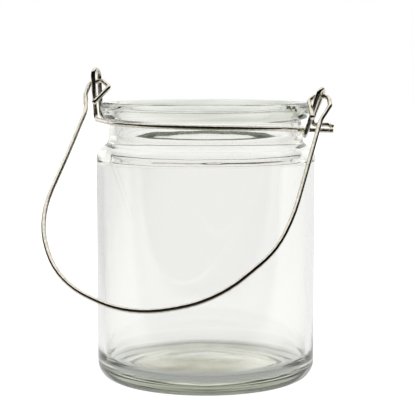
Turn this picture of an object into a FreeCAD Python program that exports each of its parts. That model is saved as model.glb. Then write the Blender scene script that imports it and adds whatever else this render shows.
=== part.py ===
import FreeCAD, Part
import math
import os
import Sketcher

V3 = FreeCAD.Vector
doc = FreeCAD.newDocument("jar_lantern")

# ---------------------------------------------------------------------------
# Driving dimensions, millimetres and degrees.
# Frame: origin on the standing plane under the middle of the jar, +Z up,
# ears on the X axis, the bail handle resting towards -Y.
# ---------------------------------------------------------------------------

# Jar section, (name, radius, height, corner rounding), walked from the middle
# of the underside out over the heel, up to the rim and down the inside.
JAR = [
    ("under_centre", 0.0, 3.4, 0.0),
    ("under_edge", 28.0, 2.2, 1.2),
    ("stand_inner", 30.2, 0.0, 0.9),
    ("heel", 42.5, 0.0, 6.7),
    ("shoulder", 42.5, 89.7, 5.4),
    ("neck_foot", 37.93, 92.09, 3.38),
    ("neck_head", 37.12, 100.9, 0.8),
    ("bead_low", 39.3, 101.6, 0.9),
    ("bead_side", 41.05, 105.4, 2.0),
    ("rim_outer", 39.9, 107.85, 1.8),
    ("rim_inner", 35.62, 107.75, 2.2),
    ("mouth_flare", 34.82, 103.0, 4.0),
    ("throat", 34.82, 93.55, 7.8),
    ("shoulder_inner", 39.5, 85.6, 4.5),
    ("floor_edge", 39.5, 4.6, 7.0),
    ("floor_centre", 0.0, 6.4, 0.0),
]

# Bail handle in its own plane: across from ear to ear, and along away from the
# swing axis. The first and last four or five points of the list are the eyes.
BAIL = [
    ("left_tip", -44.0, 11.0, 0.0),
    ("left_inner", -40.0, 1.8, 1.6),
    ("left_crest", -44.8, -1.7, 2.4),
    ("left_outer", -49.0, 1.0, 2.2),
    ("left_bulge", -48.85, 6.3, 6.0),
    ("left_neck", -45.8, 15.0, 12.0),
    ("left_shank", -45.69, 37.15, 400.0),
    ("left_hip", -46.36, 70.45, 47.2),
    ("left_sweep", -28.91, 97.04, 42.1),
    ("crown", 1.96, 107.3, 40.9),
    ("right_sweep", 30.37, 97.55, 39.4),
    ("right_hip", 46.42, 74.04, 33.7),
    ("right_shank", 49.07, 58.09, 85.0),
    ("right_neck", 48.6, 12.2, 8.0),
    ("right_bulge", 50.6, 4.4, 2.2),
    ("right_outer", 49.0, -0.2, 2.5),
    ("right_crest", 43.9, -0.2, 1.9),
    ("right_inner", 41.8, 2.6, 1.9),
    ("right_tip", 45.4, 11.4, 0.0),
]

# Neck wire bends off the neck circle, (name, x, y, z, bend radius).
TAIL_LOW = [("low_tail_end", 51.2, -0.3, 97.5, 0.0), ("low_tail_bend", 39.3, -0.3, 97.65, 2.4)]
EAR_LEFT = [
    ("left_near_foot", -45.0, -3.2, 100.5, 3.0),
    ("left_near_top", -46.3, -3.2, 120.4, 3.1),
    ("left_far_top", -46.3, 3.2, 120.4, 3.1),
    ("left_far_foot", -45.5, 3.2, 100.5, 3.0),
]
EAR_RIGHT = [
    ("right_dip", 39.65, 0.4, 95.5, 3.0),
    ("right_near_foot", 40.6, -2.25, 95.3, 1.5),
    ("right_near_top", 46.3, -2.25, 113.1, 2.1),
    ("right_far_top", 46.9, 2.25, 113.1, 2.1),
    ("right_far_foot", 41.4, 2.5, 99.5, 1.5),
    ("high_tail_bend", 48.4, 2.5, 99.7, 3.0),
    ("high_tail_end", 50.6, 2.5, 98.7, 0.0),
]

PLAIN = [
    ("wire_dia", 1.8),
    ("ring_radius", 38.45),
    ("ring_bend", 38.05),
    ("front_start_deg", 348.0),
    ("front_stop_deg", 215.9),
    ("front_height_one", 99.0),
    ("front_height_two", 99.8),
    ("front_height_three", 100.05),
    ("back_start_deg", 144.1),
    ("back_stop_deg", 14.0),
    ("back_height_one", 99.8),
    ("back_height_two", 99.2),
    ("back_height_three", 98.2),
    ("pivot_left_x", -45.82),
    ("pivot_left_z", 115.08),
    ("pivot_right_x", 46.14),
    ("pivot_right_z", 110.33),
    ("bail_rest_deg", 44.5),
]

sheet = doc.addObject("Spreadsheet::Sheet", "dims")
row = [1]


def cell(alias, value):
    sheet.set("A%d" % row[0], alias)
    sheet.set("B%d" % row[0], repr(float(value)))
    sheet.setAlias("B%d" % row[0], alias)
    row[0] += 1


for alias, value in PLAIN:
    cell(alias, value)
for name, r, z, fil in JAR:
    cell("jar_%s_rad" % name, r)
    cell("jar_%s_height" % name, z)
    cell("jar_%s_round" % name, fil)
for name, u, v, fil in BAIL:
    cell("bail_%s_across" % name, u)
    cell("bail_%s_along" % name, v)
    cell("bail_%s_round" % name, fil)
for name, x, y, z, fil in TAIL_LOW + EAR_LEFT + EAR_RIGHT:
    cell("collar_%s_posx" % name, x)
    cell("collar_%s_posy" % name, y)
    cell("collar_%s_posz" % name, z)
    cell("collar_%s_round" % name, fil)
doc.recompute()


def dim(alias):
    return float(sheet.get(alias))


def origin_plane(body, role):
    for feature in body.Origin.OriginFeatures:
        if feature.Role == role:
            return feature
    raise RuntimeError("no origin plane " + role)


def corner(before, at, after, radius):
    """Tangent points and middle of the arc that rounds one corner."""
    a, b = before.sub(at), after.sub(at)
    a.normalize()
    b.normalize()
    half = a.getAngle(b) / 2.0
    reach = radius / math.tan(half)
    middle = a.add(b)
    middle.normalize()
    centre = at.add(V3(middle).multiply(radius / math.sin(half)))
    top = centre.sub(V3(middle).multiply(radius))
    return at.add(a.multiply(reach)), top, at.add(b.multiply(reach)), centre


def rounded_outline(sketch, points, closed):
    """Draws straight runs joined by tangent arcs. Each point is (x, y, radius,
    x expression, y expression, radius expression); every corner position and
    rounding is a named dimension driven by its cell."""
    n = len(points)
    at = [V3(p[0], p[1], 0) for p in points]
    rounds = [None] * n
    for i in range(n):
        if points[i][2] > 0:
            rounds[i] = corner(at[i - 1], at[i], at[(i + 1) % n], points[i][2])
    lines = []
    for i in range(n if closed else n - 1):
        j = (i + 1) % n
        start = rounds[i][2] if rounds[i] else at[i]
        end = rounds[j][0] if rounds[j] else at[j]
        lines.append(sketch.addGeometry(Part.LineSegment(start, end), False))

    def drive(kind, geo, pos, value, expression, name):
        if abs(value) < 1e-9:
            axis = -2 if kind == "DistanceX" else -1
            sketch.addConstraint(Sketcher.Constraint("PointOnObject", geo, pos, axis))
            return
        if value > 0:
            k = sketch.addConstraint(Sketcher.Constraint(kind, -1, 1, geo, pos, value))
        else:
            k = sketch.addConstraint(Sketcher.Constraint(kind, geo, pos, -1, 1, -value))
            expression = "-(%s)" % expression
        sketch.renameConstraint(k, name)
        sketch.setExpression("Constraints." + name, expression)

    for i in range(n):
        x, y, radius, ex, ey, er = points[i]
        before = lines[i - 1] if (closed or i > 0) else None
        after = lines[i] if (closed or i < n - 1) else None
        if rounds[i]:
            first, top, last, centre = rounds[i]
            arc = Part.Arc(first, top, last)
            geo = sketch.addGeometry(arc, False)
            # an arc runs anticlockwise, so its first point may be either end
            turn = (first.sub(centre)).cross(last.sub(centre)).z
            s_pos, e_pos = (1, 2) if turn > 0 else (2, 1)
            sketch.addConstraint(Sketcher.Constraint("Tangent", before, 2, geo, s_pos))
            sketch.addConstraint(Sketcher.Constraint("Tangent", geo, e_pos, after, 1))
            k = sketch.addConstraint(Sketcher.Constraint("Radius", geo, radius))
            sketch.renameConstraint(k, "round_%d" % i)
            sketch.setExpression("Constraints.round_%d" % i, er)
            mark = sketch.addGeometry(Part.Point(at[i]), True)
            sketch.addConstraint(Sketcher.Constraint("PointOnObject", mark, 1, before))
            sketch.addConstraint(Sketcher.Constraint("PointOnObject", mark, 1, after))
            drive("DistanceX", mark, 1, x, ex, "across_%d" % i)
            drive("DistanceY", mark, 1, y, ey, "up_%d" % i)
        else:
            if before is not None and after is not None:
                sketch.addConstraint(Sketcher.Constraint("Coincident", before, 2, after, 1))
            geo, pos = (after, 1) if after is not None else (before, 2)
            drive("DistanceX", geo, pos, x, ex, "across_%d" % i)
            drive("DistanceY", geo, pos, y, ey, "up_%d" % i)


# ---------------------------------------------------------------------------
# Glass jar: one section turned about the vertical axis.
# ---------------------------------------------------------------------------
jar = doc.addObject("PartDesign::Body", "glass_jar")
jar.Label = "glass_jar"
section = jar.newObject("Sketcher::SketchObject", "jar_section")
section.AttachmentSupport = [(origin_plane(jar, "XZ_Plane"), "")]
section.MapMode = "FlatFace"
rounded_outline(
    section,
    [
        (
            dim("jar_%s_rad" % name),
            dim("jar_%s_height" % name),
            dim("jar_%s_round" % name),
            "dims.jar_%s_rad" % name,
            "dims.jar_%s_height" % name,
            "dims.jar_%s_round" % name,
        )
        for name, _, _, _ in JAR
    ],
    True,
)
doc.recompute()
turned = jar.newObject("PartDesign::Revolution", "jar_turned")
turned.Profile = section
turned.ReferenceAxis = (section, ["V_Axis"])
turned.Angle = 360.0
doc.recompute()
jar.Placement = FreeCAD.Placement(V3(0, 0, 0), FreeCAD.Rotation())

# ---------------------------------------------------------------------------
# Bail handle: a flat bent wire, drawn in its own plane and hung in the ears.
# ---------------------------------------------------------------------------
bail = doc.addObject("PartDesign::Body", "bail_handle")
bail.Label = "bail_handle"
run = bail.newObject("Sketcher::SketchObject", "bail_run")
run.AttachmentSupport = [(origin_plane(bail, "XY_Plane"), "")]
run.MapMode = "FlatFace"
rounded_outline(
    run,
    [
        (
            dim("bail_%s_across" % name),
            -dim("bail_%s_along" % name),
            dim("bail_%s_round" % name),
            "dims.bail_%s_across" % name,
            "-dims.bail_%s_along" % name,
            "dims.bail_%s_round" % name,
        )
        for name, _, _, _ in BAIL
    ],
    False,
)
doc.recompute()
tip = V3(dim("bail_left_tip_across"), -dim("bail_left_tip_along"), 0)
ahead = V3(dim("bail_left_inner_across"), -dim("bail_left_inner_along"), 0).sub(tip)
bail_end = bail.newObject("Sketcher::SketchObject", "bail_wire_end")
bail_end.AttachmentSupport = [(origin_plane(bail, "XY_Plane"), "")]
bail_end.MapMode = "FlatFace"
bail_end.AttachmentOffset = FreeCAD.Placement(tip, FreeCAD.Rotation(V3(0, 0, 1), ahead))
ring = bail_end.addGeometry(Part.Circle(V3(0, 0, 0), V3(0, 0, 1), dim("wire_dia") / 2), False)
bail_end.addConstraint(Sketcher.Constraint("Coincident", ring, 3, -1, 1))
k = bail_end.addConstraint(Sketcher.Constraint("Radius", ring, dim("wire_dia") / 2))
bail_end.renameConstraint(k, "wire_radius")
bail_end.setExpression("Constraints.wire_radius", "dims.wire_dia / 2")
doc.recompute()
swept = bail.newObject("PartDesign::AdditivePipe", "bail_swept")
swept.Profile = bail_end
swept.Spine = (run, ["Edge%d" % (i + 1) for i in range(len(run.Shape.Edges))])
doc.recompute()

left = V3(dim("pivot_left_x"), 0, dim("pivot_left_z"))
right = V3(dim("pivot_right_x"), 0, dim("pivot_right_z"))
across = right.sub(left)
across.normalize()
front = V3(0, -1, 0)
down = front.cross(across)
if down.z > 0:
    down = down.multiply(-1)
lean = math.radians(dim("bail_rest_deg"))
along = V3(down).multiply(math.cos(lean)).add(V3(front).multiply(math.sin(lean)))
upward = V3(along).multiply(-1)
normal = across.cross(upward)
middle = left.add(right).multiply(0.5)
bail.Placement = FreeCAD.Placement(
    FreeCAD.Matrix(
        across.x, upward.x, normal.x, middle.x,
        across.y, upward.y, normal.y, middle.y,
        across.z, upward.z, normal.z, middle.z,
        0, 0, 0, 1,
    )
)

# ---------------------------------------------------------------------------
# Neck wire: one wire that runs round the front of the neck, up and over the
# left ear, round the back, and up and over the right ear, with two cut tails.
# ---------------------------------------------------------------------------


def bends(group):
    return [
        (
            V3(dim("collar_%s_posx" % g[0]), dim("collar_%s_posy" % g[0]), dim("collar_%s_posz" % g[0])),
            dim("collar_%s_round" % g[0]),
        )
        for g in group
    ]


def round_the_neck(side):
    start, stop = dim(side + "_start_deg"), dim(side + "_stop_deg")
    heights = [dim("%s_height_%s" % (side, w)) for w in ("one", "two", "three")]
    step = (stop - start) / len(heights)
    out = []
    for i, height in enumerate(heights):
        angle = math.radians(start + step * (i + 0.5))
        reach = dim("ring_radius") / math.cos(math.radians(abs(step) / 2))
        out.append((V3(reach * math.cos(angle), reach * math.sin(angle), height), dim("ring_bend")))
    return out


route = (
    bends(TAIL_LOW) + round_the_neck("front") + bends(EAR_LEFT) + round_the_neck("back") + bends(EAR_RIGHT)
)
edges = []
here = route[0][0]
for i in range(1, len(route) - 1):
    first, top, last, _ = corner(route[i - 1][0], route[i][0], route[i + 1][0], route[i][1])
    edges.append(Part.LineSegment(here, first).toShape())
    edges.append(Part.Arc(first, top, last).toShape())
    here = last
edges.append(Part.LineSegment(here, route[-1][0]).toShape())
collar_run = doc.addObject("Part::Feature", "neck_wire_run")
collar_run.Shape = Part.Wire(edges)
collar_end = doc.addObject("Part::Circle", "neck_wire_end")
collar_end.setExpression("Radius", "dims.wire_dia / 2")
collar_end.Placement = FreeCAD.Placement(
    route[0][0], FreeCAD.Rotation(V3(0, 0, 1), route[1][0].sub(route[0][0]))
)
collar = doc.addObject("Part::Sweep", "neck_wire")
collar.Label = "neck_wire"
collar.Sections = [collar_end]
collar.Spine = (collar_run, ["Edge%d" % (i + 1) for i in range(len(edges))])
collar.Solid = True
collar.Frenet = False
doc.recompute()

# ---------------------------------------------------------------------------
# Every piece is tested before any file is written.
# ---------------------------------------------------------------------------
for obj in doc.Objects:
    if "Invalid" in obj.State or "Error" in obj.State:
        raise RuntimeError("%s failed: %s" % (obj.Name, obj.State))
area = math.pi * (dim("wire_dia") / 2) ** 2
pieces = [jar, collar, bail]
for piece, path in ((jar, None), (collar, collar_run.Shape), (bail, run.Shape)):
    shape = piece.Shape
    if shape.isNull() or not shape.isValid() or len(shape.Solids) != 1:
        raise RuntimeError("%s is not one valid solid" % piece.Label)
    note = ""
    if path is not None:
        length = sum(e.Length for e in path.Edges)
        ratio = shape.Volume / (area * length)
        note = "length %.1f mm, volume against section times length %.4f" % (length, ratio)
        if abs(ratio - 1) > 0.01:
            raise RuntimeError("%s swept badly: %s" % (piece.Label, note))
    print("%s volume %.1f mm3 %s" % (piece.Label, shape.Volume, note))

os.makedirs("parts", exist_ok=True)
for piece in pieces:
    piece.Shape.exportStep("parts/%s.step" % piece.Label)
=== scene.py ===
import math

import bmesh
import bpy
from mathutils import Matrix, Vector, noise


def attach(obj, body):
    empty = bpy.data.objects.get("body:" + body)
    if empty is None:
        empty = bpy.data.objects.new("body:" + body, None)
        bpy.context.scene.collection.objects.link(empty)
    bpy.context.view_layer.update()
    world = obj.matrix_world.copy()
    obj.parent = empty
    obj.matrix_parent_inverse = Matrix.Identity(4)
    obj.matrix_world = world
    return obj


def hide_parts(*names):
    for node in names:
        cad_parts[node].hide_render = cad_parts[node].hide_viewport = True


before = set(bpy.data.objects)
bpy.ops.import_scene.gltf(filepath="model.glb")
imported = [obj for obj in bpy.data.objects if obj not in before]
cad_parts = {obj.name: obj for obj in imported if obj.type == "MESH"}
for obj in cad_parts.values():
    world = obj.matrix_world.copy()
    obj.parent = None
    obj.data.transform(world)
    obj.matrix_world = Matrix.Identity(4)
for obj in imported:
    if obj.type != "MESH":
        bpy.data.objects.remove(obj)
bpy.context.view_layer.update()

MM = 0.001
scene = bpy.context.scene

# ---------------------------------------------------------------------------
# Camera: 19 degrees round to the right of the front, looking slightly down.
# ---------------------------------------------------------------------------
TURN = math.radians(19.0)
DROP = math.radians(6.04)
camera_data = bpy.data.cameras.new("camera")
camera_data.lens = 124.37
camera_data.sensor_width = 36.0
camera_data.clip_start = 0.01
camera_data.clip_end = 50.0
camera = bpy.data.objects.new("camera", camera_data)
scene.collection.objects.link(camera)
camera.location = (0.18459, -0.53453, 0.1254)
looking = Vector((-math.sin(TURN) * math.cos(DROP), math.cos(TURN) * math.cos(DROP), -math.sin(DROP)))
camera.rotation_euler = looking.to_track_quat("-Z", "Y").to_euler()
scene.camera = camera

# ---------------------------------------------------------------------------
# Small geometry helpers
# ---------------------------------------------------------------------------


def rounded_path(corners, arc_step, run_step):
    """Corners are (point, rounding). Returns points along straight runs and tangent arcs."""
    out = [corners[0][0].copy()]

    def run_to(p):
        a = out[-1].copy()
        length = (p - a).length
        if length < 1e-9:
            return
        n = max(1, math.ceil(length / run_step))
        for k in range(1, n + 1):
            out.append(a.lerp(p, k / n))

    for i in range(1, len(corners) - 1):
        here, radius = corners[i]
        a = (corners[i - 1][0] - here).normalized()
        b = (corners[i + 1][0] - here).normalized()
        if radius <= 0:
            run_to(here)
            continue
        half = a.angle(b) / 2.0
        reach = radius / math.tan(half)
        middle = (a + b).normalized()
        centre = here + middle * (radius / math.sin(half))
        first, last = here + a * reach, here + b * reach
        run_to(first)
        sweep = math.pi - 2.0 * half
        n = max(2, math.ceil(sweep / arc_step))
        e1 = (first - centre).normalized()
        e2 = (last - centre)
        e2 = (e2 - e1 * e2.dot(e1)).normalized()
        for k in range(1, n + 1):
            t = sweep * k / n
            out.append(centre + (e1 * math.cos(t) + e2 * math.sin(t)) * radius)
    run_to(corners[-1][0])
    return out


def new_object(name, bm):
    mesh = bpy.data.meshes.new(name)
    bm.to_mesh(mesh)
    bm.free()
    for p in mesh.polygons:
        p.use_smooth = True
    obj = bpy.data.objects.new(name, mesh)
    scene.collection.objects.link(obj)
    return obj


# ---------------------------------------------------------------------------
# Glass jar: a turned section with the slight waviness of pressed glass.
# (radius, height, rounding) in millimetres from the middle of the underside
# out over the heel, up to the rim and down the inside to the floor.
# ---------------------------------------------------------------------------
JAR = [
    (0.0, 3.4, 0.0),
    (28.0, 2.2, 1.2),
    (30.2, 0.0, 0.9),
    (42.5, 0.0, 6.7),
    (42.5, 89.7, 5.4),
    (37.93, 92.09, 3.38),
    (37.12, 100.9, 0.8),
    (39.3, 101.6, 0.9),
    (41.05, 105.4, 2.0),
    (39.9, 107.85, 1.8),
    (35.62, 107.75, 2.2),
    (34.82, 103.0, 4.0),
    (34.82, 93.55, 7.8),
    (39.5, 85.6, 4.5),
    (39.5, 4.6, 7.0),
    (0.0, 6.4, 0.0),
]
AROUND = 256


def build_jar():
    section = rounded_path(
        [(Vector((r, z)), fil) for r, z, fil in JAR], math.radians(4.0), 1.6
    )
    bm = bmesh.new()
    rings = []
    n = len(section)
    for k, p in enumerate(section):
        if p.x < 1e-6:
            rings.append([bm.verts.new((0.0, 0.0, p.y * MM))])
            continue
        tangent = section[min(k + 1, n - 1)] - section[max(k - 1, 0)]
        normal = Vector((tangent.y, -tangent.x)).normalized()
        inside = p.x < 39.6 and p.y > 4.4 and normal.x < 0.3
        ring = []
        for j in range(AROUND):
            t = 2.0 * math.pi * j / AROUND
            c, s = math.cos(t), math.sin(t)
            q = Vector((p.x * c, p.x * s, p.y))
            amount = 0.10 if inside else 0.03
            wave = noise.noise(Vector((q.x * 0.055, q.y * 0.055, q.z * 0.035 + (7.0 if inside else 0.0))))
            fine = noise.noise(Vector((q.x * 0.16 + 3.0, q.y * 0.16, q.z * 0.13 + (2.0 if inside else 0.0))))
            d = amount * wave + 0.25 * amount * fine
            # drawn-out streaks in the rolled rim, and lumps where the shoulder was pressed
            rim = max(0.0, min(1.0, (p.y - 102.2) / 1.6))
            if rim > 0.0:
                streak = noise.noise(Vector((c * 2.0, s * 2.0, q.z * 0.42 + (11.0 if inside else 0.0))))
                short = noise.noise(Vector((c * 7.0 + 5.0, s * 7.0, q.z * 0.7 + (4.0 if inside else 0.0))))
                d += rim * (0.10 * streak + 0.04 * short)
            lumpy = max(0.0, 1.0 - abs(p.y - 88.0) / 5.0)
            if lumpy > 0.0:
                lump = noise.noise(Vector((c * 6.0, s * 6.0, q.z * 0.25 + (9.0 if inside else 0.0))))
                d += lumpy * (0.07 if inside else 0.02) * lump
            # the standing ring stays flat
            d *= min(1.0, p.y / 3.0) if not inside else 1.0
            r, z = p.x + normal.x * d, p.y + normal.y * d
            ring.append(bm.verts.new((r * c * MM, r * s * MM, z * MM)))
        rings.append(ring)
    for a, b in zip(rings, rings[1:]):
        for j in range(AROUND):
            i = (j + 1) % AROUND
            if len(a) == 1:
                bm.faces.new((a[0], b[i], b[j]))
            elif len(b) == 1:
                bm.faces.new((a[j], a[i], b[0]))
            else:
                bm.faces.new((a[j], a[i], b[i], b[j]))
    bmesh.ops.recalc_face_normals(bm, faces=bm.faces[:])
    return new_object("jar_glass", bm)


# ---------------------------------------------------------------------------
# Wires: round drawn wire with cut ends, straight runs and tangent bends.
# ---------------------------------------------------------------------------
WIRE = 1.8
SIDES = 24


def build_wire(name, corners):
    path = rounded_path(corners, math.radians(5.0), 1.5)
    pts = [path[0]]
    for p in path[1:]:
        if (p - pts[-1]).length > 0.02:
            pts.append(p)
    n = len(pts)
    tangents = []
    for k in range(n):
        tangents.append((pts[min(k + 1, n - 1)] - pts[max(k - 1, 0)]).normalized())
    side = tangents[0].orthogonal().normalized()
    bm = bmesh.new()
    uv_layer = bm.loops.layers.uv.new("along")
    rings = []
    travelled = 0.0
    lengths = []
    for k in range(n):
        if k:
            travelled += (pts[k] - pts[k - 1]).length
            turn = tangents[k - 1].rotation_difference(tangents[k])
            side = turn @ side
        side = (side - tangents[k] * side.dot(tangents[k])).normalized()
        other = tangents[k].cross(side)
        rings.append([(pts[k], side.copy(), other.copy(), 1.0)])
        lengths.append(travelled)
    # chamfered cut ends: the end ring is narrower and set back a touch
    frames = []
    first, last = rings[0][0], rings[-1][0]
    frames.append((first[0], first[1], first[2], 0.72, 0.0))
    frames.append((first[0] + tangents[0] * 0.16, first[1], first[2], 1.0, 0.16))
    for k in range(1, n - 1):
        if 0.3 < lengths[k] < travelled - 0.3:
            frames.append((pts[k], rings[k][0][1], rings[k][0][2], 1.0, lengths[k]))
    frames.append((last[0] - tangents[-1] * 0.16, last[1], last[2], 1.0, travelled - 0.16))
    frames.append((last[0], last[1], last[2], 0.72, travelled))
    loops = []
    for centre, e1, e2, scale, along in frames:
        ring = []
        for j in range(SIDES):
            t = 2.0 * math.pi * j / SIDES
            q = centre + (e1 * math.cos(t) + e2 * math.sin(t)) * (WIRE / 2 * scale)
            ring.append(bm.verts.new(q * MM))
        loops.append((ring, along))
    for (a, va), (b, vb) in zip(loops, loops[1:]):
        for j in range(SIDES):
            i = (j + 1) % SIDES
            f = bm.faces.new((a[j], a[i], b[i], b[j]))
            u0, u1 = j / SIDES, (j + 1) / SIDES
            for loop, uv in zip(f.loops, ((u0, va), (u1, va), (u1, vb), (u0, vb))):
                loop[uv_layer].uv = (uv[0], uv[1] / 10.0)
    bm.faces.new(list(reversed(loops[0][0])))
    bm.faces.new(loops[-1][0])
    bmesh.ops.recalc_face_normals(bm, faces=bm.faces[:])
    obj = new_object(name, bm)
    obj.data.polygons[-1].use_smooth = False
    obj.data.polygons[-2].use_smooth = False
    return obj


BAIL = [
    (-44.0, 11.0, 0.0),
    (-40.0, 1.8, 1.6),
    (-44.8, -1.7, 2.4),
    (-49.0, 1.0, 2.2),
    (-48.85, 6.3, 6.0),
    (-45.8, 15.0, 12.0),
    (-45.69, 37.15, 400.0),
    (-46.36, 70.45, 47.2),
    (-28.91, 97.04, 42.1),
    (1.96, 107.3, 40.9),
    (30.37, 97.55, 39.4),
    (46.42, 74.04, 33.7),
    (49.07, 58.09, 85.0),
    (48.6, 12.2, 8.0),
    (50.6, 4.4, 2.2),
    (49.0, -0.2, 2.5),
    (43.9, -0.2, 1.9),
    (41.8, 2.6, 1.9),
    (45.4, 11.4, 0.0),
]


def bail_corners():
    left, right = Vector((-45.82, 0.0, 115.08)), Vector((46.14, 0.0, 110.33))
    across = (right - left).normalized()
    front = Vector((0.0, -1.0, 0.0))
    down = front.cross(across)
    if down.z > 0:
        down = -down
    lean = math.radians(44.5)
    along = down * math.cos(lean) + front * math.sin(lean)
    middle = (left + right) / 2
    return [(middle + across * u + along * v, fil) for u, v, fil in BAIL]


def collar_corners():
    def round_the_neck(start, stop, heights):
        step = (stop - start) / len(heights)
        out = []
        for i, height in enumerate(heights):
            t = math.radians(start + step * (i + 0.5))
            reach = 38.45 / math.cos(math.radians(abs(step) / 2))
            out.append((Vector((reach * math.cos(t), reach * math.sin(t), height)), 38.05))
        return out

    route = [(51.2, -0.3, 97.5, 0.0), (39.3, -0.3, 97.65, 2.4)]
    route = [(Vector(p[:3]), p[3]) for p in route]
    route += round_the_neck(348.0, 215.9, (99.0, 99.8, 100.05))
    for p in (
        (-45.0, -3.2, 100.5, 3.0),
        (-46.3, -3.2, 120.4, 3.1),
        (-46.3, 3.2, 120.4, 3.1),
        (-45.5, 3.2, 100.5, 3.0),
    ):
        route.append((Vector(p[:3]), p[3]))
    route += round_the_neck(144.1, 14.0, (99.8, 99.2, 98.2))
    for p in (
        (39.65, 0.4, 95.5, 3.0),
        (40.6, -2.25, 95.3, 1.5),
        (46.3, -2.25, 113.1, 2.1),
        (46.9, 2.25, 113.1, 2.1),
        (41.4, 2.5, 99.5, 1.5),
        (48.4, 2.5, 99.7, 3.0),
        (50.6, 2.5, 98.7, 0.0),
    ):
        route.append((Vector(p[:3]), p[3]))
    return route


# ---------------------------------------------------------------------------
# Materials
# ---------------------------------------------------------------------------


def tree_of(material):
    material.use_nodes = True
    nt = material.node_tree
    nt.nodes.clear()
    return nt


def add(nt, kind, **values):
    node = nt.nodes.new(kind)
    for key, value in values.items():
        if hasattr(node, key):
            setattr(node, key, value)
        else:
            node.inputs[key.replace("__", " ")].default_value = value
    return node


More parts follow.
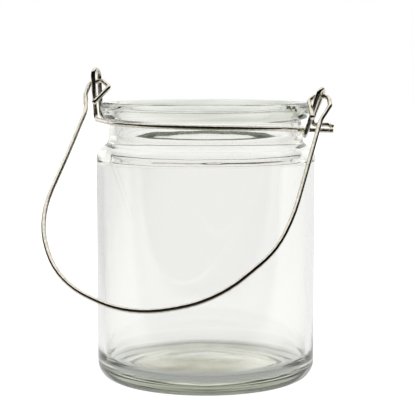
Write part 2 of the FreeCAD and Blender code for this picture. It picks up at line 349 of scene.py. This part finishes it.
def glass_material():
    m = bpy.data.materials.new("clear_soda_glass")
    nt = tree_of(m)
    out = nt.nodes.new("ShaderNodeOutputMaterial")
    b = nt.nodes.new("ShaderNodeBsdfPrincipled")
    b.inputs["Base Color"].default_value = (1.0, 1.0, 1.0, 1.0)
    b.inputs["Transmission Weight"].default_value = 1.0
    b.inputs["IOR"].default_value = 1.51
    b.inputs["Metallic"].default_value = 0.0
    coord = nt.nodes.new("ShaderNodeTexCoord")
    high = nt.nodes.new("ShaderNodeSeparateXYZ")
    nt.links.new(coord.outputs["Object"], high.inputs["Vector"])
    low = nt.nodes.new("ShaderNodeMapRange")
    low.interpolation_type = "SMOOTHSTEP"
    low.inputs["From Min"].default_value = 0.0074
    low.inputs["From Max"].default_value = 0.0100
    nt.links.new(high.outputs["Z"], low.inputs["Value"])
    level = nt.nodes.new("ShaderNodeCombineXYZ")
    nt.links.new(high.outputs["X"], level.inputs["X"])
    nt.links.new(high.outputs["Y"], level.inputs["Y"])
    away = nt.nodes.new("ShaderNodeVectorMath")
    away.operation = "LENGTH"
    shifted = nt.nodes.new("ShaderNodeVectorMath")
    shifted.operation = "SUBTRACT"
    shifted.inputs[1].default_value = (-0.0013, 0.0038, 0.0)
    nt.links.new(level.outputs["Vector"], shifted.inputs[0])
    nt.links.new(shifted.outputs["Vector"], away.inputs[0])
    wide = nt.nodes.new("ShaderNodeMapRange")
    wide.interpolation_type = "SMOOTHSTEP"
    wide.inputs["From Min"].default_value = 0.0300
    wide.inputs["From Max"].default_value = 0.0345
    nt.links.new(away.outputs["Value"], wide.inputs["Value"])
    clear = nt.nodes.new("ShaderNodeMath")
    clear.operation = "MAXIMUM"
    nt.links.new(low.outputs["Result"], clear.inputs[0])
    nt.links.new(wide.outputs["Result"], clear.inputs[1])
    # base disc tint: the olive of the thick base glass, partly painted shadow of the floor beneath it, with
    # a random mottle
    mottle = add(nt, "ShaderNodeTexNoise", Scale=60.0, Detail=4.0, Roughness=0.55)
    nt.links.new(coord.outputs["Object"], mottle.inputs["Vector"])
    olive = nt.nodes.new("ShaderNodeValToRGB")
    olive.color_ramp.elements[0].position = 0.35
    olive.color_ramp.elements[0].color = (0.42, 0.43, 0.31, 1.0)
    olive.color_ramp.elements[1].position = 0.65
    olive.color_ramp.elements[1].color = (0.86, 0.87, 0.78, 1.0)
    # painted shade: the disc is darker towards the front, measured from a point on the camera's side
    painted_front_shade = nt.nodes.new("ShaderNodeMapRange")
    painted_front_shade.inputs["From Min"].default_value = 0.006
    painted_front_shade.inputs["From Max"].default_value = 0.034
    painted_front_shade.inputs["To Min"].default_value = -0.16
    painted_front_shade.inputs["To Max"].default_value = 0.16
    front_distance = nt.nodes.new("ShaderNodeVectorMath")
    front_distance.operation = "DISTANCE"
    front_distance.inputs[1].default_value = (0.0042, -0.0122, 0.0)
    nt.links.new(level.outputs["Vector"], front_distance.inputs[0])
    nt.links.new(front_distance.outputs["Value"], painted_front_shade.inputs["Value"])
    mottle_and_front_shade = nt.nodes.new("ShaderNodeMath")
    mottle_and_front_shade.operation = "ADD"
    nt.links.new(mottle.outputs["Fac"], mottle_and_front_shade.inputs[0])
    nt.links.new(painted_front_shade.outputs["Result"], mottle_and_front_shade.inputs[1])
    nt.links.new(mottle_and_front_shade.outputs[0], olive.inputs["Fac"])
    disc_tint_and_shade = nt.nodes.new("ShaderNodeMix")
    disc_tint_and_shade.data_type = "RGBA"
    disc_tint_and_shade.inputs[7].default_value = (1.0, 1.0, 0.995, 1.0)
    nt.links.new(clear.outputs[0], disc_tint_and_shade.inputs[0])
    nt.links.new(olive.outputs["Color"], disc_tint_and_shade.inputs[6])
    top = nt.nodes.new("ShaderNodeMapRange")
    top.interpolation_type = "SMOOTHSTEP"
    top.inputs["From Min"].default_value = 0.1010
    top.inputs["From Max"].default_value = 0.1030
    nt.links.new(high.outputs["Z"], top.inputs["Value"])
    roll = nt.nodes.new("ShaderNodeMix")
    roll.data_type = "RGBA"
    drawn = nt.nodes.new("ShaderNodeMapping")
    drawn.inputs["Scale"].default_value = (14.0, 14.0, 420.0)
    nt.links.new(coord.outputs["Object"], drawn.inputs["Vector"])
    streaks = add(nt, "ShaderNodeTexNoise", Scale=1.0, Detail=3.0, Roughness=0.6)
    nt.links.new(drawn.outputs["Vector"], streaks.inputs["Vector"])
    green = nt.nodes.new("ShaderNodeValToRGB")
    green.color_ramp.elements[0].position = 0.36
    green.color_ramp.elements[0].color = (0.64, 0.68, 0.62, 1.0)
    green.color_ramp.elements[1].position = 0.60
    green.color_ramp.elements[1].color = (0.97, 0.98, 0.95, 1.0)
    nt.links.new(streaks.outputs["Fac"], green.inputs["Fac"])
    nt.links.new(green.outputs["Color"], roll.inputs[7])
    nt.links.new(top.outputs["Result"], roll.inputs[0])
    # painted shade: the outside of the heel below about 6 mm is coloured dark grey
    foot = nt.nodes.new("ShaderNodeMapRange")
    foot.interpolation_type = "SMOOTHSTEP"
    foot.inputs["From Min"].default_value = 0.0030
    foot.inputs["From Max"].default_value = 0.0062
    nt.links.new(high.outputs["Z"], foot.inputs["Value"])
    inner = nt.nodes.new("ShaderNodeMath")
    inner.operation = "SUBTRACT"
    inner.inputs[0].default_value = 1.0
    nt.links.new(wide.outputs["Result"], inner.inputs[1])
    spare = nt.nodes.new("ShaderNodeMath")
    spare.operation = "MAXIMUM"
    nt.links.new(foot.outputs["Result"], spare.inputs[0])
    nt.links.new(inner.outputs[0], spare.inputs[1])
    heel = nt.nodes.new("ShaderNodeMix")
    heel.data_type = "RGBA"
    heel.inputs[6].default_value = (0.42, 0.44, 0.40, 1.0)
    nt.links.new(spare.outputs[0], heel.inputs[0])
    nt.links.new(disc_tint_and_shade.outputs[2], heel.inputs[7])
    # painted reflection: a dark line round the outside of the heel at 2.4 mm, standing in for the dark
    # reflected line there
    height = nt.nodes.new("ShaderNodeMath")
    height.operation = "SUBTRACT"
    height.inputs[1].default_value = 0.0024
    nt.links.new(high.outputs["Z"], height.inputs[0])
    offset = nt.nodes.new("ShaderNodeMath")
    offset.operation = "ABSOLUTE"
    nt.links.new(height.outputs[0], offset.inputs[0])
    line = nt.nodes.new("ShaderNodeMapRange")
    line.interpolation_type = "SMOOTHSTEP"
    line.inputs["From Min"].default_value = 0.0002
    line.inputs["From Max"].default_value = 0.0008
    line.inputs["To Min"].default_value = 1.0
    line.inputs["To Max"].default_value = 0.0
    nt.links.new(offset.outputs[0], line.inputs["Value"])
    outer = nt.nodes.new("ShaderNodeMath")
    outer.operation = "MULTIPLY"
    nt.links.new(line.outputs["Result"], outer.inputs[0])
    nt.links.new(wide.outputs["Result"], outer.inputs[1])
    painted_heel_line = nt.nodes.new("ShaderNodeMix")
    painted_heel_line.data_type = "RGBA"
    painted_heel_line.inputs[7].default_value = (0.27, 0.285, 0.255, 1.0)
    nt.links.new(outer.outputs[0], painted_heel_line.inputs[0])
    nt.links.new(heel.outputs[2], painted_heel_line.inputs[6])
    nt.links.new(painted_heel_line.outputs[2], roll.inputs[6])
    nt.links.new(roll.outputs[2], b.inputs["Base Color"])
    ripple = add(nt, "ShaderNodeTexNoise", Scale=260.0, Detail=3.0, Roughness=0.5)
    nt.links.new(coord.outputs["Object"], ripple.inputs["Vector"])
    bump = nt.nodes.new("ShaderNodeBump")
    bump.inputs["Strength"].default_value = 0.10
    bump.inputs["Distance"].default_value = 0.00005
    nt.links.new(ripple.outputs["Fac"], bump.inputs["Height"])
    nt.links.new(bump.outputs["Normal"], b.inputs["Normal"])
    film = add(nt, "ShaderNodeTexNoise", Scale=45.0, Detail=5.0, Roughness=0.6)
    nt.links.new(coord.outputs["Object"], film.inputs["Vector"])
    rough = nt.nodes.new("ShaderNodeMapRange")
    rough.inputs["From Min"].default_value = 0.45
    rough.inputs["From Max"].default_value = 0.8
    rough.inputs["To Min"].default_value = 0.0
    rough.inputs["To Max"].default_value = 0.03
    nt.links.new(film.outputs["Fac"], rough.inputs["Value"])
    nt.links.new(rough.outputs["Result"], b.inputs["Roughness"])
    nt.links.new(b.outputs["BSDF"], out.inputs["Surface"])
    v = nt.nodes.new("ShaderNodeVolumeAbsorption")
    v.inputs["Color"].default_value = (0.60, 0.64, 0.50, 1.0)
    v.inputs["Density"].default_value = 12.0
    nt.links.new(v.outputs["Volume"], out.inputs["Volume"])
    return m


def wire_material():
    m = bpy.data.materials.new("bright_drawn_wire")
    nt = tree_of(m)
    out = nt.nodes.new("ShaderNodeOutputMaterial")
    b = nt.nodes.new("ShaderNodeBsdfPrincipled")
    b.inputs["Metallic"].default_value = 1.0
    uv = nt.nodes.new("ShaderNodeUVMap")
    uv.uv_map = "along"
    stretch = nt.nodes.new("ShaderNodeMapping")
    stretch.inputs["Scale"].default_value = (90.0, 5.0, 1.0)
    nt.links.new(uv.outputs["UV"], stretch.inputs["Vector"])
    lines = add(nt, "ShaderNodeTexNoise", Scale=1.0, Detail=4.0, Roughness=0.55)
    nt.links.new(stretch.outputs["Vector"], lines.inputs["Vector"])
    coord = nt.nodes.new("ShaderNodeTexCoord")
    cloud = add(nt, "ShaderNodeTexNoise", Scale=700.0, Detail=5.0, Roughness=0.6)
    nt.links.new(coord.outputs["Object"], cloud.inputs["Vector"])
    ramp = nt.nodes.new("ShaderNodeValToRGB")
    ramp.color_ramp.elements[0].position = 0.30
    ramp.color_ramp.elements[0].color = (0.60, 0.56, 0.49, 1.0)
    ramp.color_ramp.elements[1].position = 0.62
    ramp.color_ramp.elements[1].color = (0.86, 0.82, 0.73, 1.0)
    nt.links.new(cloud.outputs["Fac"], ramp.inputs["Fac"])
    nt.links.new(ramp.outputs["Color"], b.inputs["Base Color"])
    rough = nt.nodes.new("ShaderNodeMapRange")
    rough.inputs["From Min"].default_value = 0.3
    rough.inputs["From Max"].default_value = 0.7
    rough.inputs["To Min"].default_value = 0.05
    rough.inputs["To Max"].default_value = 0.17
    nt.links.new(lines.outputs["Fac"], rough.inputs["Value"])
    nt.links.new(rough.outputs["Result"], b.inputs["Roughness"])
    bump = nt.nodes.new("ShaderNodeBump")
    bump.inputs["Strength"].default_value = 0.35
    bump.inputs["Distance"].default_value = 0.00002
    nt.links.new(lines.outputs["Fac"], bump.inputs["Height"])
    nt.links.new(bump.outputs["Normal"], b.inputs["Normal"])
    nt.links.new(b.outputs["BSDF"], out.inputs["Surface"])
    return m


glass = glass_material()
steel = wire_material()

jar = build_jar()
jar.data.materials.append(glass)
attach(jar, "jar")
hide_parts("glass_jar")

collar = build_wire("wire_collar", collar_corners())
collar.data.materials.append(steel)
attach(collar, "jar")
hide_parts("neck_wire")

bail = build_wire("wire_bail", bail_corners())
bail.data.materials.append(steel)
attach(bail, "bail")
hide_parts("bail_handle")

# ---------------------------------------------------------------------------
# Floor and soft studio light
# ---------------------------------------------------------------------------
bm = bmesh.new()
bmesh.ops.create_grid(bm, x_segments=8, y_segments=8, size=3.0)
floor = new_object("floor", bm)
floor.location.z = -0.00005
fm = bpy.data.materials.new("pale_floor")
nt = tree_of(fm)
out = nt.nodes.new("ShaderNodeOutputMaterial")
b = nt.nodes.new("ShaderNodeBsdfPrincipled")
b.inputs["Base Color"].default_value = (0.30, 0.30, 0.30, 1.0)
b.inputs["Roughness"].default_value = 0.9
b.inputs["Specular IOR Level"].default_value = 0.0
b.inputs["Emission Color"].default_value = (1.0, 1.0, 1.0, 1.0)
b.inputs["Emission Strength"].default_value = 0.70
# less light reaches the floor under the jar, least where the ring stands on it
out_from = nt.nodes.new("ShaderNodeTexCoord")
reach = nt.nodes.new("ShaderNodeVectorMath")
reach.operation = "LENGTH"
nt.links.new(out_from.outputs["Object"], reach.inputs[0])
span = nt.nodes.new("ShaderNodeMapRange")
span.inputs["From Max"].default_value = 0.060
nt.links.new(reach.outputs["Value"], span.inputs["Value"])
edge = nt.nodes.new("ShaderNodeMapRange")
edge.interpolation_type = "SMOOTHSTEP"
edge.inputs["From Min"].default_value = 0.66
edge.inputs["From Max"].default_value = 0.80
nt.links.new(span.outputs["Result"], edge.inputs["Value"])
facing = nt.nodes.new("ShaderNodeVectorRotate")
facing.rotation_type = "Z_AXIS"
facing.inputs["Angle"].default_value = -TURN
nt.links.new(out_from.outputs["Object"], facing.inputs["Vector"])
depth = nt.nodes.new("ShaderNodeSeparateXYZ")
nt.links.new(facing.outputs["Vector"], depth.inputs["Vector"])
# painted shadow under the jar: the glow there is lower towards the front
behind = nt.nodes.new("ShaderNodeMapRange")
behind.interpolation_type = "SMOOTHSTEP"
behind.inputs["From Min"].default_value = -0.036
behind.inputs["From Max"].default_value = 0.026
behind.inputs["To Min"].default_value = 0.50
behind.inputs["To Max"].default_value = 0.86
nt.links.new(depth.outputs["Y"], behind.inputs["Value"])
under = nt.nodes.new("ShaderNodeMix")
under.data_type = "FLOAT"
under.inputs[3].default_value = 0.74
nt.links.new(edge.outputs["Result"], under.inputs[0])
nt.links.new(behind.outputs["Result"], under.inputs[2])
# painted shade: the floor glows less towards the left
aside = nt.nodes.new("ShaderNodeMapRange")
aside.interpolation_type = "SMOOTHSTEP"
aside.inputs["From Min"].default_value = -0.28
aside.inputs["From Max"].default_value = -0.04
aside.inputs["To Min"].default_value = 0.77
aside.inputs["To Max"].default_value = 1.0
nt.links.new(depth.outputs["X"], aside.inputs["Value"])
glow = nt.nodes.new("ShaderNodeMath")
glow.operation = "MULTIPLY"
nt.links.new(under.outputs[0], glow.inputs[0])
nt.links.new(aside.outputs["Result"], glow.inputs[1])
nt.links.new(glow.outputs[0], b.inputs["Emission Strength"])
shade = nt.nodes.new("ShaderNodeBsdfDiffuse")
shade.inputs["Color"].default_value = (0.06, 0.06, 0.055, 1.0)
place = nt.nodes.new("ShaderNodeTexCoord")
turn = nt.nodes.new("ShaderNodeVectorRotate")
turn.rotation_type = "Z_AXIS"
turn.inputs["Angle"].default_value = -TURN
nt.links.new(place.outputs["Object"], turn.inputs["Vector"])
part = nt.nodes.new("ShaderNodeSeparateXYZ")
nt.links.new(turn.outputs["Vector"], part.inputs["Vector"])
near = nt.nodes.new("ShaderNodeMapRange")
near.interpolation_type = "SMOOTHSTEP"
near.inputs["From Min"].default_value = -0.12
near.inputs["From Max"].default_value = -0.06
near.inputs["To Min"].default_value = 1.0
near.inputs["To Max"].default_value = 0.0
nt.links.new(part.outputs["Y"], near.inputs["Value"])
rays = nt.nodes.new("ShaderNodeLightPath")
once = nt.nodes.new("ShaderNodeMath")
once.operation = "MINIMUM"
once.inputs[1].default_value = 1.0
nt.links.new(rays.outputs["Glossy Depth"], once.inputs[0])
both = nt.nodes.new("ShaderNodeMath")
both.operation = "MULTIPLY"
nt.links.new(once.outputs[0], both.inputs[0])
nt.links.new(near.outputs["Result"], both.inputs[1])
mixed = nt.nodes.new("ShaderNodeMixShader")
nt.links.new(both.outputs[0], mixed.inputs["Fac"])
nt.links.new(b.outputs["BSDF"], mixed.inputs[1])
nt.links.new(shade.outputs["BSDF"], mixed.inputs[2])
# seen directly the floor is lifted so that it runs into the backdrop
lift = nt.nodes.new("ShaderNodeEmission")
lift.inputs["Color"].default_value = (1.0, 1.0, 1.0, 1.0)
short_of = nt.nodes.new("ShaderNodeMath")
short_of.operation = "SUBTRACT"
short_of.inputs[0].default_value = 1.0
nt.links.new(glow.outputs[0], short_of.inputs[1])
direct = nt.nodes.new("ShaderNodeMath")
direct.operation = "MULTIPLY"
nt.links.new(rays.outputs["Is Camera Ray"], direct.inputs[0])
nt.links.new(short_of.outputs[0], direct.inputs[1])
nt.links.new(direct.outputs[0], lift.inputs["Strength"])
summed = nt.nodes.new("ShaderNodeAddShader")
nt.links.new(mixed.outputs["Shader"], summed.inputs[0])
nt.links.new(lift.outputs["Emission"], summed.inputs[1])
nt.links.new(summed.outputs["Shader"], out.inputs["Surface"])
floor.data.materials.append(fm)

world = bpy.data.worlds.new("studio")
scene.world = world
world.use_nodes = True
nt = world.node_tree
nt.nodes.clear()


def math_node(op, a, b=None, c=None, clamp=False):
    node = nt.nodes.new("ShaderNodeMath")
    node.operation = op
    node.use_clamp = clamp
    for k, v in enumerate((a, b, c)):
        if v is None:
            continue
        if isinstance(v, (int, float)):
            node.inputs[k].default_value = v
        else:
            nt.links.new(v, node.inputs[k])
    return node.outputs[0]


def between(value, low, high):
    """0 below low, 1 above high, smooth in between."""
    node = nt.nodes.new("ShaderNodeMapRange")
    node.interpolation_type = "SMOOTHSTEP"
    nt.links.new(value, node.inputs["Value"])
    node.inputs["From Min"].default_value = low
    node.inputs["From Max"].default_value = high
    return node.outputs["Result"]


coord = nt.nodes.new("ShaderNodeTexCoord")
turned = nt.nodes.new("ShaderNodeVectorRotate")
turned.rotation_type = "Z_AXIS"
turned.inputs["Angle"].default_value = -TURN
nt.links.new(coord.outputs["Generated"], turned.inputs["Vector"])
split = nt.nodes.new("ShaderNodeSeparateXYZ")
nt.links.new(turned.outputs["Vector"], split.inputs["Vector"])
wx, wy, wz = split.outputs
level = math_node("ARCSINE", wz)
# angle round from the camera's side, 0 towards the camera, pi behind the object
side = math_node("ARCTAN2", math_node("ABSOLUTE", wx), math_node("MULTIPLY", wy, -1.0))
paths = nt.nodes.new("ShaderNodeLightPath")

# the lit set behind the object falls off towards the sides, more on the left
left_of = between(math_node("MULTIPLY", wx, -1.0), 0.12, 0.70)
right_of = between(wx, 0.25, 0.80)
see_through = math_node("SUBTRACT", 1.0, math_node("MULTIPLY", left_of, 0.55))
see_through = math_node("SUBTRACT", see_through, math_node("MULTIPLY", right_of, 0.25))
see_through = math_node("MULTIPLY", see_through, math_node("ADD", math_node("MULTIPLY", between(wy, -0.30, 0.30), 0.6), 0.4))
scattered = math_node("MINIMUM", paths.outputs["Diffuse Depth"], 1.0)
see_through = math_node("MAXIMUM", see_through, scattered)
# reflections see a dark room on the camera's side and the lit set behind the object
limit = math_node("SUBTRACT", 2.35, math_node("MULTIPLY", between(level, 0.45, 1.00), 1.10))
limit = math_node("SUBTRACT", limit, math_node("MULTIPLY", between(level, 1.12, 1.38), 2.50))
ahead = between(math_node("SUBTRACT", side, limit), -0.22, 0.15)
gloss = math_node("ADD", math_node("MULTIPLY", ahead, 1.07), 0.004)
bounced = math_node("MINIMUM", paths.outputs["Glossy Depth"], 1.0)
value = math_node("ADD", math_node("MULTIPLY", gloss, bounced),
                  math_node("MULTIPLY", math_node("SUBTRACT", 1.0, bounced), see_through))
# the backdrop seen directly is plain white
value = math_node("MAXIMUM", value, paths.outputs["Is Camera Ray"])
bg = nt.nodes.new("ShaderNodeBackground")
tone = nt.nodes.new("ShaderNodeMix")
tone.data_type = "RGBA"
tone.inputs[6].default_value = (1.0, 0.992, 0.965, 1.0)
tone.inputs[7].default_value = (1.0, 1.0, 1.0, 1.0)
nt.links.new(paths.outputs["Is Camera Ray"], tone.inputs[0])
nt.links.new(tone.outputs[2], bg.inputs["Color"])
nt.links.new(value, bg.inputs["Strength"])
wout = nt.nodes.new("ShaderNodeOutputWorld")
nt.links.new(bg.outputs["Background"], wout.inputs["Surface"])

scene.view_settings.view_transform = "Standard"
scene.cycles.max_bounces = 40
scene.cycles.transmission_bounces = 32
scene.cycles.glossy_bounces = 24
scene.cycles.diffuse_bounces = 3
